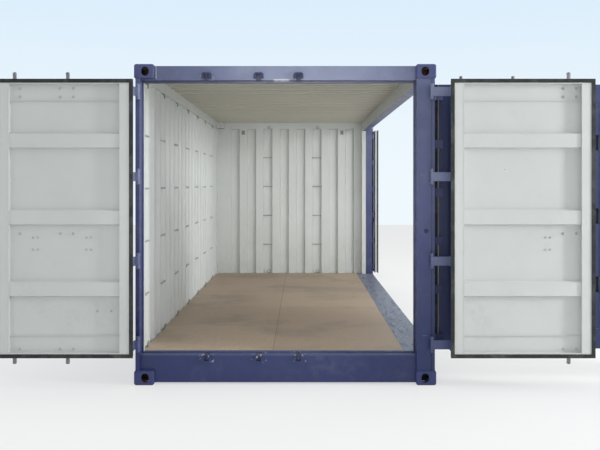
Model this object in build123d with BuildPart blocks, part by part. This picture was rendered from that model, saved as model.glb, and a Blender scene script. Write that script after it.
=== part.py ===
"""Twenty foot shipping container with one open side, both end doors open and folding side doors.

Millimetres. +X runs from the door end to the blind end, +Y to the closed side wall, +Z up.
The origin is at ground level, at the centre of the four bottom corner apertures.
"""

import os

from build123d import *

# Overall size of the box
LENGTH = 6058
WIDTH = 2438
HEIGHT = 2591

# Corner fittings
FITTING_L = 178
FITTING_W = 162
FITTING_H = 118
FITTING_WALL = 28
INNER_WALL = 13
APERTURE_L = 124
APERTURE_W = 63.5
APERTURE_INSET_L = 102.5
APERTURE_INSET_W = 89.5
FACE_HOLE_W = 79
FACE_HOLE_H = 58
END_HOLE_W = 62
END_HOLE_H = 74
FITTING_ROUND = 18
FITTING_EDGE = 10
FITTING_PROUD = 4
FOOT_DROP = 12.5

# Corner posts
POST_DEPTH = 160
POST_INSET = 12
SLIM_POST_WIDTH = 47
WIDE_POST_WIDTH = 154
REBATE = 114
GROOVE = 6

# Rails
HEADER_HEIGHT = 124
SILL_TOP = 241
HEADER_DROP = 8
END_RAIL_INSET = 40
ROOF_SEAT = 40
DOOR_STOP = 12
SIDE_RAIL = 60
OPEN_RAIL_WIDTH = 155
OPEN_RAIL_HEIGHT = 152
SIDE_REBATE_WIDTH = 85
SIDE_REBATE_HEIGHT = 48
THRESHOLD_WIDTH = 240

# Floor
FLOOR_TOP = 252
PLYWOOD = 28
FLOOR_GAP = 1
BEAM_HEIGHT = 122
BEAM_WIDTH = 45
BEAM_COUNT = 12

# Corrugated sheets
SHEET = 2
SIDE_BAYS = 21
SIDE_CREST = 72
SIDE_FALL = 66
SIDE_WAVE = 36
END_BAYS = 8
END_MARGIN_RIGHT = 56
END_MARGIN_LEFT = 138
END_CREST = 110
END_FALL = 18
END_WAVE = 46
ROOF_BAYS = 28
ROOF_CREST = 91
ROOF_FALL = 13
ROOF_WAVE = 20
ROOF_DROP = 6

# End doors
PIN_R = 9
PIN_FIT = 0.08
KNUCKLE_R = 15
PIN_FORWARD = 32
PIN_INSET = 39
HINGE_GAP = 2
HINGE_SHARES = (0.0335, 0.3411, 0.6511, 0.9642)
HINGE_HEIGHT = 72
LUG_HEIGHT = 20
STRAP = 8
STRAP_OFFSET = 7
STRAP_FOOT = 70
DOOR_BACK = 50
DOOR_THICK = 50
DOOR_GAP = 14
DOOR_END_GAP = 22
DOOR_EDGE_STEP = 6
MEETING_SHIFT = 26.5
MEETING_GAP = 22
STILE = 96
DOOR_RAIL = 165
RAIL_EDGE = 30
RAIL_SHEET = 6
RAIL_LIP = 16
RAIL_LIP_THICK = 5
RIB_HEIGHT = 130
RIB_SHARES = (0.2443, 0.5032, 0.7810)
RIB_SLOPE = 12
PANEL = 3
PANEL_STEP = 34
GASKET_WIDTH = 30
GASKET_LIP = 8
GASKET_THICK = 5

# Lock rods
ROD_R = 17
ROD_STANDOFF = 22
ROD_LEFT = (121, 543)
ROD_RIGHT = (179,)
CAM_LENGTH = 26
CAM_THICK = 14
CAM_REACH = 66
KEEPER_GAP = 7
KEEPER_CHEEK = 20
KEEPER_HEIGHT = 48
KEEPER_CAP = 12
KEEPER_DEPTH = 22
KEEPER_ROUND = 20
HANDLE_RISE = 887
HANDLE_LENGTH = 360
HANDLE_HEIGHT = 40
HANDLE_THICK = 12
BRACKET_HEIGHT = 60

# Folding side doors
LEAVES = 4
LEAF_GAP = 8
SIDE_DOOR_THICK = 50
SIDE_PIN_OUT = 4
SIDE_PIN_IN = 32
SIDE_DOOR_BACK = 30
SIDE_STRAP = 70
SIDE_DOOR_GAP = 14
SIDE_DOOR_TOP_GAP = 42
SIDE_HINGES = 6
SIDE_HINGE_INSET = 94
SIDE_HINGE_HEIGHT = 70
SIDE_GASKET_LIP = 24
SIDE_RODS = ((181, 608), (330, 950))

# Lashing points
LASH_SHARES = (0.2, 0.4, 0.6, 0.8)
LASH_R = 6
LASH_BAY_STEP = 3
LASH_END_BAYS = (-1.5, 1.5)

FRONT = -LENGTH / 2
REAR = LENGTH / 2
LEFT = WIDTH / 2
FITTING_TOP = HEIGHT - FITTING_H
HEADER_BOTTOM = HEIGHT - FITTING_PROUD - HEADER_HEIGHT
DOOR_LOW = SILL_TOP + DOOR_END_GAP
DOOR_HIGH = HEADER_BOTTOM - DOOR_END_GAP
RIB_LEVELS = [DOOR_LOW + share * (DOOR_HIGH - DOOR_LOW) for share in RIB_SHARES]
HINGE_LEVELS = [DOOR_LOW + share * (DOOR_HIGH - DOOR_LOW) for share in HINGE_SHARES]
HANDLE_Z = DOOR_LOW + HANDLE_RISE
LASH_LEVELS = [FLOOR_TOP + share * (FITTING_TOP - FLOOR_TOP) for share in LASH_SHARES]
OPEN_RAIL_BOTTOM = HEIGHT - FITTING_PROUD - OPEN_RAIL_HEIGHT
SIDE_REBATE_TOP = OPEN_RAIL_BOTTOM + SIDE_REBATE_HEIGHT
SIDE_DOOR_LOW = FLOOR_TOP + SIDE_DOOR_GAP
SIDE_DOOR_HIGH = SIDE_REBATE_TOP - SIDE_DOOR_TOP_GAP
BASE_BOTTOM = FOOT_DROP + FITTING_PROUD
POST_OUT = LEFT - POST_INSET
SLIM_POST_INNER = POST_OUT - SLIM_POST_WIDTH
WIDE_POST_INNER = POST_OUT - WIDE_POST_WIDTH
LEFT_EDGE = SLIM_POST_INNER
RIGHT_EDGE = WIDE_POST_INNER - DOOR_EDGE_STEP
DOORWAY = (-RIGHT_EDGE - DOOR_GAP, LEFT_EDGE + DOOR_GAP)
INSIDE = (-WIDE_POST_INNER, SLIM_POST_INNER)

os.makedirs("parts", exist_ok=True)


def block(x, y, z, mode=Mode.ADD):
    """Box between two ends on each axis, in the part being built."""
    low_x, high_x = sorted(x)
    low_y, high_y = sorted(y)
    low_z, high_z = sorted(z)
    centre = ((low_x + high_x) / 2, (low_y + high_y) / 2, (low_z + high_z) / 2)
    with Locations(centre):
        Box(high_x - low_x, high_y - low_y, high_z - low_z, mode=mode)


def upright(x, y, z, radius, height, mode=Mode.ADD):
    """Round bar that stands on height z."""
    with Locations((x, y, z + height / 2)):
        Cylinder(radius, height, mode=mode)


def save(part, name):
    """Label a finished piece and write it."""
    part.label = name
    export_step(part, f"parts/{name}.step")


def wave(start, bays, pitch, crest, fall, depth):
    """Corners of a corrugated line: distance along it and distance off it, for each bend."""
    line = [(start, 0)]
    for bay in range(bays):
        near = start + bay * pitch
        line.append((near + crest / 2, 0))
        line.append((near + crest / 2 + fall, depth))
        line.append((near + pitch - crest / 2 - fall, depth))
        line.append((near + pitch - crest / 2, 0))
    line.append((start + bays * pitch, 0))
    return line


def closed_strip(line, thickness):
    """Outline of a sheet that follows a corrugated line."""
    return line + [(along, off + thickness) for along, off in reversed(line)]


def fitting(end, side, low):
    """Hollow corner fitting: end is -1 at the door end, side is 1 at the closed wall."""
    outer_x = end * REAR
    outer_y = side * LEFT
    inner_x = outer_x - end * FITTING_L
    inner_y = outer_y - side * FITTING_W
    high = low + FITTING_H
    hole_x = outer_x - end * APERTURE_INSET_L
    hole_y = outer_y - side * APERTURE_INSET_W
    middle = low + FITTING_H / 2
    slot_low = low if low == 0 else high - FITTING_WALL
    with BuildPart() as piece:
        block((outer_x, inner_x), (outer_y, inner_y), (low, high))
        fillet(piece.edges().filter_by(Axis.X), FITTING_ROUND)
        fillet(piece.faces().filter_by(Axis.X).edges(), FITTING_EDGE)
        block(
            (outer_x - end * FITTING_WALL, inner_x + end * INNER_WALL),
            (outer_y - side * FITTING_WALL, inner_y + side * INNER_WALL),
            (low + FITTING_WALL, high - FITTING_WALL),
            mode=Mode.SUBTRACT,
        )
        with BuildSketch(Plane.XY.offset(slot_low)):
            with Locations((hole_x, hole_y)):
                SlotOverall(APERTURE_L, APERTURE_W)
        extrude(amount=FITTING_WALL, mode=Mode.SUBTRACT)
        with BuildSketch(Plane.YZ.offset(outer_x)):
            with Locations((hole_y, middle)):
                SlotOverall(END_HOLE_H, END_HOLE_W, rotation=90)
        extrude(amount=-end * FITTING_WALL, mode=Mode.SUBTRACT)
        with BuildSketch(Plane.XZ.offset(-outer_y)):
            with Locations((hole_x, middle)):
                SlotOverall(FACE_HOLE_W, FACE_HOLE_H)
        extrude(amount=side * FITTING_WALL, mode=Mode.SUBTRACT)
    return piece.part


for level_name, level in (("bottom", 0), ("top", FITTING_TOP)):
    for end_name, end in (("front", -1), ("rear", 1)):
        pair = Compound(children=[fitting(end, side, level) for side in (-1, 1)])
        save(pair, f"corner_fittings_{end_name}_{level_name}")

# Posts. The two at the door end are rebated for the end doors.
PIN_Y = LEFT - PIN_INSET
POST_FRONT = FRONT + FITTING_PROUD
POST_REAR = REAR - FITTING_PROUD
POST_Z = (FITTING_H, FITTING_TOP)

with BuildPart() as post_front_left:
    block((POST_FRONT, FRONT + POST_DEPTH), (SLIM_POST_INNER, POST_OUT), POST_Z)
    block((POST_FRONT, FRONT + REBATE), (SLIM_POST_INNER, DOORWAY[1]), POST_Z, mode=Mode.SUBTRACT)
save(post_front_left.part, "post_front_left")

with BuildPart() as post_front_right:
    block((POST_FRONT, FRONT + POST_DEPTH), (-WIDE_POST_INNER, -POST_OUT), POST_Z)
    block((POST_FRONT, FRONT + REBATE), (-WIDE_POST_INNER, DOORWAY[0]), POST_Z, mode=Mode.SUBTRACT)
    groove_y = (-PIN_Y - GROOVE / 2, -PIN_Y + GROOVE / 2)
    block((POST_FRONT, POST_FRONT + GROOVE), groove_y, POST_Z, mode=Mode.SUBTRACT)
save(post_front_right.part, "post_front_right")

with BuildPart() as post_rear_left:
    block((REAR - POST_DEPTH, POST_REAR), (SLIM_POST_INNER, POST_OUT), POST_Z)
save(post_rear_left.part, "post_rear_left")

with BuildPart() as post_rear_right:
    block((REAR - POST_DEPTH, POST_REAR), (-WIDE_POST_INNER, -POST_OUT), POST_Z)
save(post_rear_right.part, "post_rear_right")

# Header, sill and the rails between the fittings and posts
FITTING_Y = LEFT - FITTING_W
RAIL_TOP = HEIGHT - FITTING_PROUD
RAIL_FRONT = FRONT + END_RAIL_INSET
SILL_BACK = FRONT + POST_DEPTH

with BuildPart() as door_header:
    block((RAIL_FRONT, SILL_BACK), (-FITTING_Y, FITTING_Y), (FITTING_TOP, RAIL_TOP - HEADER_DROP))
    block((SILL_BACK - ROOF_SEAT, SILL_BACK), (-FITTING_Y, FITTING_Y), (FITTING_TOP, RAIL_TOP))
    block((RAIL_FRONT, FRONT + REBATE), DOORWAY, (HEADER_BOTTOM, FITTING_TOP))
    block((FRONT + REBATE, SILL_BACK), INSIDE, (HEADER_BOTTOM - DOOR_STOP, FITTING_TOP))
save(door_header.part, "door_header")

with BuildPart() as door_sill:
    block((RAIL_FRONT, SILL_BACK), (-FITTING_Y, FITTING_Y), (BASE_BOTTOM, FITTING_H))
    block((RAIL_FRONT, FRONT + REBATE), DOORWAY, (FITTING_H, SILL_TOP))
    block((FRONT + REBATE, SILL_BACK), INSIDE, (FITTING_H, FLOOR_TOP))
save(door_sill.part, "door_sill")

with BuildPart() as rear_header:
    block((POST_REAR - SIDE_RAIL, POST_REAR), (-FITTING_Y, FITTING_Y), (FITTING_TOP, RAIL_TOP))
save(rear_header.part, "rear_header")

with BuildPart() as rear_sill:
    block((POST_REAR - SIDE_RAIL, POST_REAR), (-FITTING_Y, FITTING_Y), (BASE_BOTTOM, FITTING_H))
save(rear_sill.part, "rear_sill")

FITTING_X = REAR - FITTING_L
POST_X = REAR - POST_DEPTH
RAIL_OUT = LEFT - FITTING_PROUD

with BuildPart() as top_rail_left:
    block((-FITTING_X, FITTING_X), (RAIL_OUT - SIDE_RAIL, RAIL_OUT), (FITTING_TOP, RAIL_TOP))
save(top_rail_left.part, "top_rail_left")

with BuildPart() as bottom_rail_left:
    block((-FITTING_X, FITTING_X), (RAIL_OUT - SIDE_RAIL, RAIL_OUT), (BASE_BOTTOM, FITTING_H))
save(bottom_rail_left.part, "bottom_rail_left")

OPEN_RAIL_INNER = -RAIL_OUT + OPEN_RAIL_WIDTH
OPEN_RAIL_WEB = (-RAIL_OUT + SIDE_REBATE_WIDTH, OPEN_RAIL_INNER)

with BuildPart() as top_rail_right:
    block((-FITTING_X, FITTING_X), (-RAIL_OUT, OPEN_RAIL_INNER), (SIDE_REBATE_TOP, RAIL_TOP))
    block((-FITTING_X, FITTING_X), OPEN_RAIL_WEB, (OPEN_RAIL_BOTTOM, SIDE_REBATE_TOP))
    block((-POST_X, POST_X), OPEN_RAIL_WEB, (OPEN_RAIL_BOTTOM, FITTING_TOP))
save(top_rail_right.part, "top_rail_right")

THRESHOLD_INNER = -RAIL_OUT + THRESHOLD_WIDTH
WALL_X = POST_REAR - SHEET - END_WAVE

with BuildPart() as side_threshold:
    block((-FITTING_X, FITTING_X), (-RAIL_OUT, THRESHOLD_INNER), (BASE_BOTTOM, FITTING_H))
    block((-POST_X, POST_X), (-RAIL_OUT, THRESHOLD_INNER), (FITTING_H, FLOOR_TOP))
    block((SILL_BACK, WALL_X), (-WIDE_POST_INNER, THRESHOLD_INNER), (FITTING_H, FLOOR_TOP))
save(side_threshold.part, "side_threshold")

# Corrugated walls and roof
SIDE_PITCH = (2 * POST_X) / SIDE_BAYS
WALL_Y = RAIL_OUT - SHEET - SIDE_WAVE

with BuildPart() as left_wall:
    with BuildSketch(Plane.XY.offset(FITTING_H)):
        with BuildLine():
            side_line = wave(-POST_X, SIDE_BAYS, SIDE_PITCH, SIDE_CREST, SIDE_FALL, SIDE_WAVE)
            Polyline(*[(x, WALL_Y + y) for x, y in closed_strip(side_line, SHEET)], close=True)
        make_face()
    extrude(amount=FITTING_TOP - FITTING_H)
save(left_wall.part, "left_wall")

END_PITCH = (SLIM_POST_INNER + WIDE_POST_INNER - END_MARGIN_LEFT - END_MARGIN_RIGHT) / END_BAYS
END_START = END_MARGIN_RIGHT - WIDE_POST_INNER
with BuildPart() as rear_wall:
    with BuildSketch(Plane.XY.offset(FITTING_H)):
        with BuildLine():
            end_wave = wave(END_START, END_BAYS, END_PITCH, END_CREST, END_FALL, END_WAVE)
            end_line = [(-WIDE_POST_INNER, 0)] + end_wave + [(SLIM_POST_INNER, 0)]
            Polyline(*[(WALL_X + x, y) for y, x in closed_strip(end_line, SHEET)], close=True)
        make_face()
    extrude(amount=FITTING_TOP - FITTING_H)
save(rear_wall.part, "rear_wall")

ROOF_FRONT = SILL_BACK
ROOF_REAR = POST_REAR - SIDE_RAIL
ROOF_RIGHT = OPEN_RAIL_INNER
ROOF_LEFT = RAIL_OUT - SIDE_RAIL
ROOF_PITCH = (ROOF_REAR - ROOF_FRONT) / ROOF_BAYS
ROOF_Z = HEIGHT - ROOF_DROP - SHEET

with BuildPart() as roof:
    with BuildSketch(Plane.XZ.offset(-ROOF_LEFT)):
        with BuildLine():
            roof_line = wave(ROOF_FRONT, ROOF_BAYS, ROOF_PITCH, ROOF_CREST, ROOF_FALL, -ROOF_WAVE)
            Polyline(*[(x, ROOF_Z + z) for x, z in closed_strip(roof_line, SHEET)], close=True)
        make_face()
    extrude(amount=ROOF_LEFT - ROOF_RIGHT)
    for corner_x in ((ROOF_FRONT, -FITTING_X), (FITTING_X, ROOF_REAR)):
        for corner_y in ((ROOF_RIGHT, -FITTING_Y), (FITTING_Y, ROOF_LEFT)):
            block(corner_x, corner_y, (FITTING_TOP, HEIGHT), mode=Mode.SUBTRACT)
save(roof.part, "roof")

# Floor and the beams under it
FLOOR_LEFT = WALL_Y - FLOOR_GAP
FLOOR_Z = FLOOR_TOP - PLYWOOD

with BuildPart() as plywood_floor:
    block((SILL_BACK, WALL_X), (THRESHOLD_INNER, FLOOR_LEFT), (FLOOR_Z, FLOOR_TOP))
    block((POST_X, WALL_X), (SLIM_POST_INNER, FLOOR_LEFT), (FLOOR_Z, FLOOR_TOP), mode=Mode.SUBTRACT)
save(plywood_floor.part, "plywood_floor")

BEAM_SPACING = (ROOF_REAR - SILL_BACK) / (BEAM_COUNT + 1)
beams = []
for index in range(BEAM_COUNT):
    beam_x = SILL_BACK + BEAM_SPACING * (index + 1)
    with BuildPart() as beam:
        block(
            (beam_x - BEAM_WIDTH / 2, beam_x + BEAM_WIDTH / 2),
            (THRESHOLD_INNER, RAIL_OUT - SIDE_RAIL),
            (FLOOR_Z - BEAM_HEIGHT, FLOOR_Z),
        )
    beams.append(beam.part)
save(Compound(children=beams), "floor_beams")

# End doors, drawn closed and then swung half a turn about their pins
PIN_X = FRONT - PIN_FORWARD
DOOR_X = FRONT + DOOR_BACK
DOOR_INNER_X = DOOR_X + DOOR_THICK
MEETING_LINE = (LEFT_EDGE - RIGHT_EDGE) / 2 + MEETING_SHIFT
LEFT_MEETING = MEETING_LINE + MEETING_GAP / 2
RIGHT_MEETING = MEETING_LINE - MEETING_GAP / 2
OPEN_ANGLE = 180


def opened(part, side):
    """An end door piece as it stands with the door folded back beside the door end."""
    axis = Axis((PIN_X, side * PIN_Y, 0), (0, 0, 1))
    return part.rotate(axis, -side * OPEN_ANGLE)


def ribbed_panel(low, high, levels, near, far):
    """Sheet with pressed ribs: near is the outer face and far the side that the ribs stand to."""
    step = PANEL_STEP if far > near else -PANEL_STEP
    line = [(low, near)]
    for level in levels:
        line.append((level - RIB_HEIGHT / 2, near))
        line.append((level - RIB_HEIGHT / 2 + RIB_SLOPE, near + step))
        line.append((level + RIB_HEIGHT / 2 - RIB_SLOPE, near + step))
        line.append((level + RIB_HEIGHT / 2, near))
    line.append((high, near))
    return closed_strip(line, PANEL if far > near else -PANEL)


def door_frame(side, hinge_y, meeting_y):
    """Ring of two stiles and two rails."""
    toward = 1 if meeting_y > hinge_y else -1
    with BuildPart() as ring:
        block((DOOR_X, DOOR_INNER_X), (hinge_y, meeting_y), (DOOR_LOW, DOOR_HIGH))
        block(
            (DOOR_X, DOOR_INNER_X),
            (hinge_y + toward * STILE, meeting_y - toward * STILE),
            (DOOR_LOW + DOOR_RAIL, DOOR_HIGH - DOOR_RAIL),
            mode=Mode.SUBTRACT,
        )
        between = (hinge_y + toward * STILE, meeting_y - toward * STILE)
        for edge, inward in ((DOOR_LOW, 1), (DOOR_HIGH, -1)):
            outer_z = edge + inward * RAIL_EDGE
            inner_z = edge + inward * DOOR_RAIL
            lip_z = inner_z - inward * RAIL_LIP_THICK
            block((DOOR_X + RAIL_LIP, DOOR_INNER_X), between, (outer_z, inner_z), mode=Mode.SUBTRACT)
            block((DOOR_X + RAIL_SHEET, DOOR_INNER_X), between, (outer_z, lip_z), mode=Mode.SUBTRACT)
    return opened(ring.part, side)


def door_panel(side, hinge_y, meeting_y):
    """Pressed steel sheet that fills the ring."""
    toward = 1 if meeting_y > hinge_y else -1
    ends = sorted((hinge_y + toward * STILE, meeting_y - toward * STILE))
    strip = ribbed_panel(DOOR_LOW + DOOR_RAIL, DOOR_HIGH - DOOR_RAIL, RIB_LEVELS, DOOR_X + PANEL, DOOR_INNER_X)
    with BuildPart() as sheet:
        with BuildSketch(Plane.XZ.offset(-ends[1])):
            with BuildLine():
                Polyline(*[(x, z) for z, x in strip], close=True)
            make_face()
        extrude(amount=ends[1] - ends[0])
    return opened(sheet.part, side)


def door_gasket(side, hinge_y, meeting_y):
    """Rubber seal round the inner face."""
    toward = 1 if meeting_y > hinge_y else -1
    outer = (hinge_y - toward * GASKET_LIP, meeting_y + toward * GASKET_LIP)
    inner = (outer[0] + toward * GASKET_WIDTH, outer[1] - toward * GASKET_WIDTH)
    with BuildPart() as seal:
        block(
            (DOOR_INNER_X, DOOR_INNER_X + GASKET_THICK),
            outer,
            (DOOR_LOW - GASKET_LIP, DOOR_HIGH + GASKET_LIP),
        )
        block(
            (DOOR_INNER_X, DOOR_INNER_X + GASKET_THICK),
            inner,
            (DOOR_LOW - GASKET_LIP + GASKET_WIDTH, DOOR_HIGH + GASKET_LIP - GASKET_WIDTH),
            mode=Mode.SUBTRACT,
        )
    return opened(seal.part, side)


def door_straps(side, hinge_y):
    """Hinge blades: a knuckle on the pin, a flat bar past the post and a foot on the door."""
    straps = []
    foot_y = hinge_y - side * STRAP_FOOT
    for level in HINGE_LEVELS:
        low = level - HINGE_HEIGHT / 2
        span = (low, low + HINGE_HEIGHT)
        with BuildPart() as strap:
            upright(PIN_X, side * PIN_Y, low, KNUCKLE_R, HINGE_HEIGHT)
            block(
                (PIN_X + STRAP_OFFSET, PIN_X + STRAP_OFFSET + STRAP),
                (side * PIN_Y, hinge_y - side * STRAP),
                span,
            )
            block((PIN_X + STRAP_OFFSET, DOOR_X), (hinge_y, hinge_y - side * STRAP), span)
            block((DOOR_X - STRAP, DOOR_X), (hinge_y, foot_y), span)
            upright(PIN_X, side * PIN_Y, low, PIN_R + PIN_FIT, HINGE_HEIGHT, mode=Mode.SUBTRACT)
        straps.append(opened(strap.part, side))
    return Compound(children=straps)


def door_rods(side, meeting_y, offsets):
    """Lock rods with their cams, handles and the brackets that hold them to the door."""
    rods = []
    rod_x = DOOR_X - ROD_STANDOFF
    for offset in offsets:
        rod_y = meeting_y + side * offset
        cam = (rod_x - CAM_THICK / 2, rod_x + CAM_THICK / 2)
        with BuildPart() as rod:
            upright(rod_x, rod_y, DOOR_LOW, ROD_R, DOOR_HIGH - DOOR_LOW)
            for level in (DOOR_LOW, DOOR_HIGH - BRACKET_HEIGHT, HANDLE_Z - BRACKET_HEIGHT * 2):
                block(
                    (rod_x, DOOR_X),
                    (rod_y - 2 * ROD_R, rod_y + 2 * ROD_R),
                    (level, level + BRACKET_HEIGHT),
                )
            for level in (DOOR_LOW - CAM_REACH, DOOR_HIGH):
                block(cam, (rod_y - CAM_LENGTH / 2, rod_y + CAM_LENGTH / 2), (level, level + CAM_REACH))
            block(
                (rod_x - HANDLE_THICK / 2, rod_x + HANDLE_THICK / 2),
                (rod_y, rod_y + side * HANDLE_LENGTH),
                (HANDLE_Z, HANDLE_Z + HANDLE_HEIGHT),
            )
            block(
                (rod_x, DOOR_X),
                (rod_y + side * (HANDLE_LENGTH - BRACKET_HEIGHT), rod_y + side * HANDLE_LENGTH),
                (HANDLE_Z, HANDLE_Z + HANDLE_HEIGHT),
            )
        rods.append(opened(rod.part, side))
    return Compound(children=rods)


END_DOORS = (
    ("left", 1, LEFT_EDGE, LEFT_MEETING, ROD_LEFT),
    ("right", -1, -RIGHT_EDGE, RIGHT_MEETING, ROD_RIGHT),
)
for door, side, hinge_y, meeting_y, offsets in END_DOORS:
    save(door_frame(side, hinge_y, meeting_y), f"{door}_end_door_frame")
    save(door_panel(side, hinge_y, meeting_y), f"{door}_end_door_panel")
    save(door_gasket(side, hinge_y, meeting_y), f"{door}_end_door_gasket")
    save(door_straps(side, hinge_y), f"{door}_end_door_hinges")
    save(door_rods(side, meeting_y, offsets), f"{door}_end_door_lock_rods")


def hinge_lugs(side):
    """Lugs welded to a post, with the pins that the end door turns on."""
    lugs = []
    for level in HINGE_LEVELS:
        low = level - HINGE_HEIGHT / 2 - HINGE_GAP - LUG_HEIGHT
        high = level + HINGE_HEIGHT / 2 + HINGE_GAP
        with BuildPart() as lug:
            upright(PIN_X, side * PIN_Y, low, PIN_R, high + LUG_HEIGHT - low)
            for foot in (low, high):
                upright(PIN_X, side * PIN_Y, foot, KNUCKLE_R, LUG_HEIGHT)
                block(
                    (PIN_X, POST_FRONT),
                    (side * (PIN_Y - KNUCKLE_R), side * (PIN_Y + KNUCKLE_R)),
                    (foot, foot + LUG_HEIGHT),
                )
        lugs.append(lug.part)
    return Compound(children=lugs)


save(hinge_lugs(1), "hinge_lugs_left")
save(hinge_lugs(-1), "hinge_lugs_right")

# Keepers on the header and sill: a hood with a slot that the cam swings into
ROD_LINES = [LEFT_MEETING + offset for offset in ROD_LEFT] + [RIGHT_MEETING - offset for offset in ROD_RIGHT]
KEEPER_LOW = SILL_TOP - DOOR_GAP
KEEPER_HIGH = HEADER_BOTTOM + DOOR_GAP


def keeper(rod_y, mouth, away):
    """Hood that starts at the mouth and runs away from the door, up or down."""
    slot = CAM_LENGTH / 2 + KEEPER_GAP
    reach = (RAIL_FRONT - KEEPER_DEPTH, RAIL_FRONT)
    with BuildPart() as hood:
        block(
            reach,
            (rod_y - slot - KEEPER_CHEEK, rod_y + slot + KEEPER_CHEEK),
            (mouth, mouth + away * KEEPER_HEIGHT),
        )
        crown = hood.edges().filter_by(Axis.X).group_by(Axis.Z)[-1 if away > 0 else 0]
        fillet(crown, KEEPER_ROUND)
        block(
            reach,
            (rod_y - slot, rod_y + slot),
            (mouth, mouth + away * (KEEPER_HEIGHT - KEEPER_CAP)),
            mode=Mode.SUBTRACT,
        )
    return hood.part


hoods = [keeper(rod_y, KEEPER_HIGH, 1) for rod_y in ROD_LINES]
hoods += [keeper(rod_y, KEEPER_LOW, -1) for rod_y in ROD_LINES]
save(Compound(children=hoods), "cam_keepers")

# Folding side doors, drawn closed along the open side and then swung out in line
LEAF = (2 * POST_X - (LEAVES + 1) * LEAF_GAP) / LEAVES
SIDE_PIN_X = POST_X + SIDE_PIN_IN
SIDE_PIN_Y = -LEFT - SIDE_PIN_OUT
LEAF_OUTER = SIDE_PIN_Y + SIDE_DOOR_BACK
LEAF_INNER = LEAF_OUTER + SIDE_DOOR_THICK
SIDE_SWING = {-1: -90, 1: 180}
SIDE_HINGE_STEP = (SIDE_DOOR_HIGH - SIDE_DOOR_LOW - 2 * SIDE_HINGE_INSET) / (SIDE_HINGES - 1)
SIDE_HINGE_LOW = SIDE_DOOR_LOW + SIDE_HINGE_INSET
SIDE_HINGE_LEVELS = [SIDE_HINGE_LOW + order * SIDE_HINGE_STEP for order in range(SIDE_HINGES)]


def swung(part, end):
    """A side door piece as it stands: the door end pair at a right angle, the other pair right round."""
    return part.rotate(Axis((end * SIDE_PIN_X, SIDE_PIN_Y, 0), (0, 0, 1)), SIDE_SWING[end])


def leaf_span(end, order):
    """Ends of a closed leaf along X: order 0 hangs on the post and order 1 on the first leaf."""
    near = POST_X - LEAF_GAP - order * (LEAF + LEAF_GAP)
    return end * near, end * (near - LEAF)


def leaf_frame(end, order):
    near, far = leaf_span(end, order)
    with BuildPart() as ring:
        block((near, far), (LEAF_OUTER, LEAF_INNER), (SIDE_DOOR_LOW, SIDE_DOOR_HIGH))
        block(
            (near - end * STILE, far + end * STILE),
            (LEAF_OUTER, LEAF_INNER),
            (SIDE_DOOR_LOW + DOOR_RAIL, SIDE_DOOR_HIGH - DOOR_RAIL),
            mode=Mode.SUBTRACT,
        )
    return swung(ring.part, end)


def leaf_panel(end, order):
    near, far = leaf_span(end, order)
    ends = sorted((near - end * STILE, far + end * STILE))
    strip = ribbed_panel(
        SIDE_DOOR_LOW + DOOR_RAIL, SIDE_DOOR_HIGH - DOOR_RAIL, RIB_LEVELS, LEAF_OUTER + PANEL, LEAF_INNER
    )
    with BuildPart() as sheet:
        with BuildSketch(Plane.YZ.offset(ends[0])):
            with BuildLine():
                Polyline(*[(y, z) for z, y in strip], close=True)
            make_face()
        extrude(amount=ends[1] - ends[0])
    return swung(sheet.part, end)


def leaf_gasket(end, order):
    near, far = leaf_span(end, order)
    outer = (SIDE_DOOR_LOW - GASKET_LIP, SIDE_DOOR_HIGH + GASKET_LIP)
    face = (LEAF_INNER, LEAF_INNER + GASKET_THICK)
    edge = near if order else near + end * SIDE_GASKET_LIP
    with BuildPart() as seal:
        block((edge, far), face, outer)
        block(
            (edge - end * GASKET_WIDTH, far + end * GASKET_WIDTH),
            face,
            (outer[0] + GASKET_WIDTH, outer[1] - GASKET_WIDTH),
            mode=Mode.SUBTRACT,
        )
    return swung(seal.part, end)


def leaf_rod(end, order, offset):
    near, far = leaf_span(end, order)
    rod_x = near - end * offset
    rod_y = LEAF_OUTER - ROD_STANDOFF
    with BuildPart() as rod:
        upright(rod_x, rod_y, SIDE_DOOR_LOW, ROD_R, SIDE_DOOR_HIGH - SIDE_DOOR_LOW)
        for level in (SIDE_DOOR_LOW, SIDE_DOOR_HIGH - BRACKET_HEIGHT, HANDLE_Z - BRACKET_HEIGHT * 2):
            block((rod_x - 2 * ROD_R, rod_x + 2 * ROD_R), (rod_y, LEAF_OUTER), (level, level + BRACKET_HEIGHT))
        for level in (SIDE_DOOR_LOW - CAM_REACH, SIDE_DOOR_HIGH):
            block(
                (rod_x - CAM_LENGTH / 2, rod_x + CAM_LENGTH / 2),
                (rod_y - CAM_THICK / 2, rod_y + CAM_THICK / 2),
                (level, level + CAM_REACH),
            )
        block(
            (rod_x, rod_x - end * HANDLE_LENGTH / 2),
            (rod_y - HANDLE_THICK / 2, rod_y + HANDLE_THICK / 2),
            (HANDLE_Z, HANDLE_Z + HANDLE_HEIGHT),
        )
        block(
            (rod_x - end * (HANDLE_LENGTH / 2 - BRACKET_HEIGHT / 2), rod_x - end * HANDLE_LENGTH / 2),
            (rod_y, LEAF_OUTER),
            (HANDLE_Z, HANDLE_Z + HANDLE_HEIGHT),
        )
    return swung(rod.part, end)


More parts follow.
